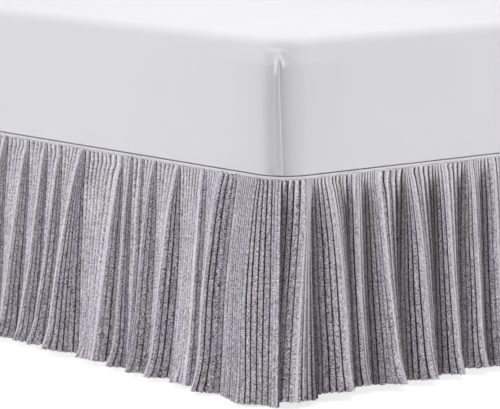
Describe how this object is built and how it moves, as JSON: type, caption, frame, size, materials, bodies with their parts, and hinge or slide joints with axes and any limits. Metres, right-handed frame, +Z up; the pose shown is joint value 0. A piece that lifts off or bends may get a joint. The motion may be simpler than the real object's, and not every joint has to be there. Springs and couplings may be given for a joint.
{
  "type": "bed skirt on a bed with mattress",
  "caption": "Gathered bed skirt of finely pleated glitter cloth hanging to the floor round a twin bed's base, with the base, legs and mattress in its fitted sheet.",
  "frame": {"origin": "on the floor, in the middle of the whole footprint, hem included", "axes": "+Y from the bed's foot to its head, +X across the bed to the right as seen from the foot, +Z up"},
  "size_m": [1.105, 1.9613, 0.6373],
  "materials": {
    "ruffle": "lilac-grey glitter cloth in fine pleats",
    "binding": "pale woven strip",
    "deck": "plain white woven cloth",
    "sheet": "smooth white fitted sheet",
    "base": "plain grey ticking",
    "leg": "dark stained, satin"
  },
  "bodies": {
    "root": {"mattress": "sheet", "deck": "deck", "binding": "binding", "ruffle_side_1": "ruffle", "ruffle_foot": "ruffle", "ruffle_side_2": "ruffle", "base": "base", "leg_1": "leg", "leg_2": "leg", "leg_3": "leg", "leg_4": "leg", "leg_5": "leg", "leg_6": "leg"}
  },
  "joints": []
}
